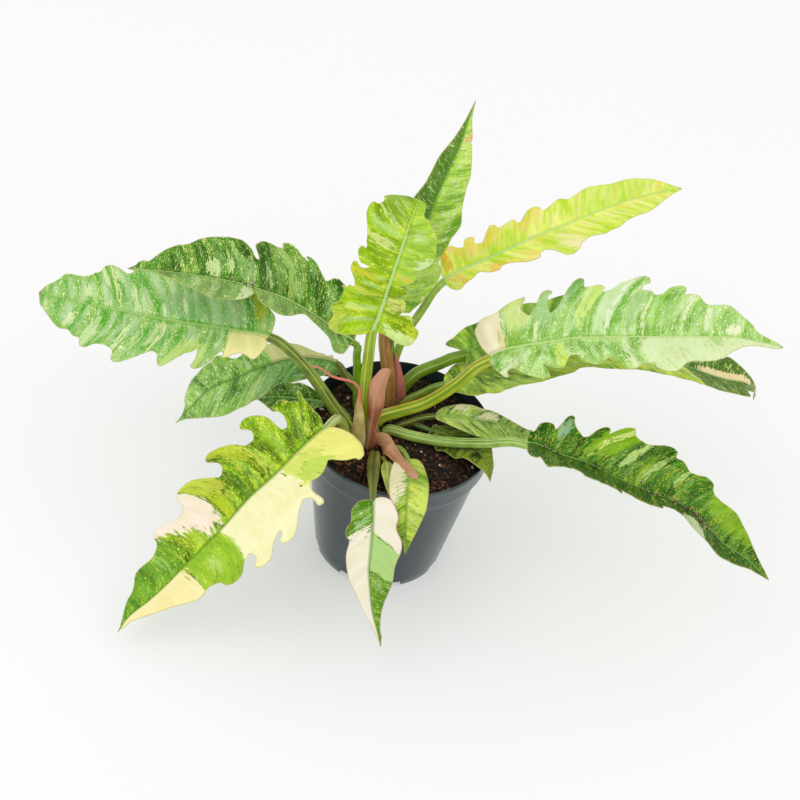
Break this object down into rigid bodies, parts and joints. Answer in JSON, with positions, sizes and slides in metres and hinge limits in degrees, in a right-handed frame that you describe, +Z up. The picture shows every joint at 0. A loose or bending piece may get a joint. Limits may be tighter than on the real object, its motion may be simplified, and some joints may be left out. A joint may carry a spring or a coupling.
{
  "type": "potted ring of fire philodendron",
  "caption": "Potted aroid with long serrated, cream and green variegated leaves that arch out of a round tapered nursery pot",
  "frame": {"origin": "centre of the pot's flat underside, where the plant stands on a table", "axes": "+Z up along the pot's axis; +X to the right and +Y away from the viewer as the plant is pictured, so the longest leaves reach along X"},
  "size_m": [0.5713, 0.3644, 0.3502],
  "materials": {
    "pot_plastic": "satin",
    "leaf_yellow": "gloss",
    "leaf_green": "gloss",
    "leaf_dark_green": "gloss",
    "leaf_cream": "gloss",
    "leaf_light_green": "gloss",
    "dry_sheath": "matte",
    "crown_stem": "matte",
    "potting_mix": "matte"
  },
  "bodies": {
    "root": {"pot": "pot_plastic", "leaf_young_upright": "leaf_yellow", "leaf_left_long": "leaf_green", "leaf_left_arching": "leaf_dark_green", "leaf_back_upright": "leaf_green", "leaf_right_yellow": "leaf_yellow", "leaf_right_long": "leaf_cream", "leaf_right_behind": "leaf_dark_green", "leaf_right_under": "leaf_dark_green", "leaf_right_low": "leaf_dark_green", "leaf_left_middle": "leaf_green", "leaf_front_left": "leaf_cream", "leaf_left_under": "leaf_dark_green", "leaf_right_small": "leaf_light_green", "leaf_front_hanging": "leaf_cream", "leaf_front_short": "leaf_light_green", "leaf_front_narrow": "leaf_light_green", "leaf_right_drooping": "leaf_dark_green", "leaf_left_small": "leaf_dark_green", "sheath_upright": "dry_sheath", "sheath_right": "dry_sheath", "sheath_curled": "dry_sheath", "sheath_tall": "dry_sheath", "sheath_red": "dry_sheath", "crown_front": "crown_stem", "crown_back": "crown_stem", "soil": "potting_mix"}
  },
  "joints": []
}
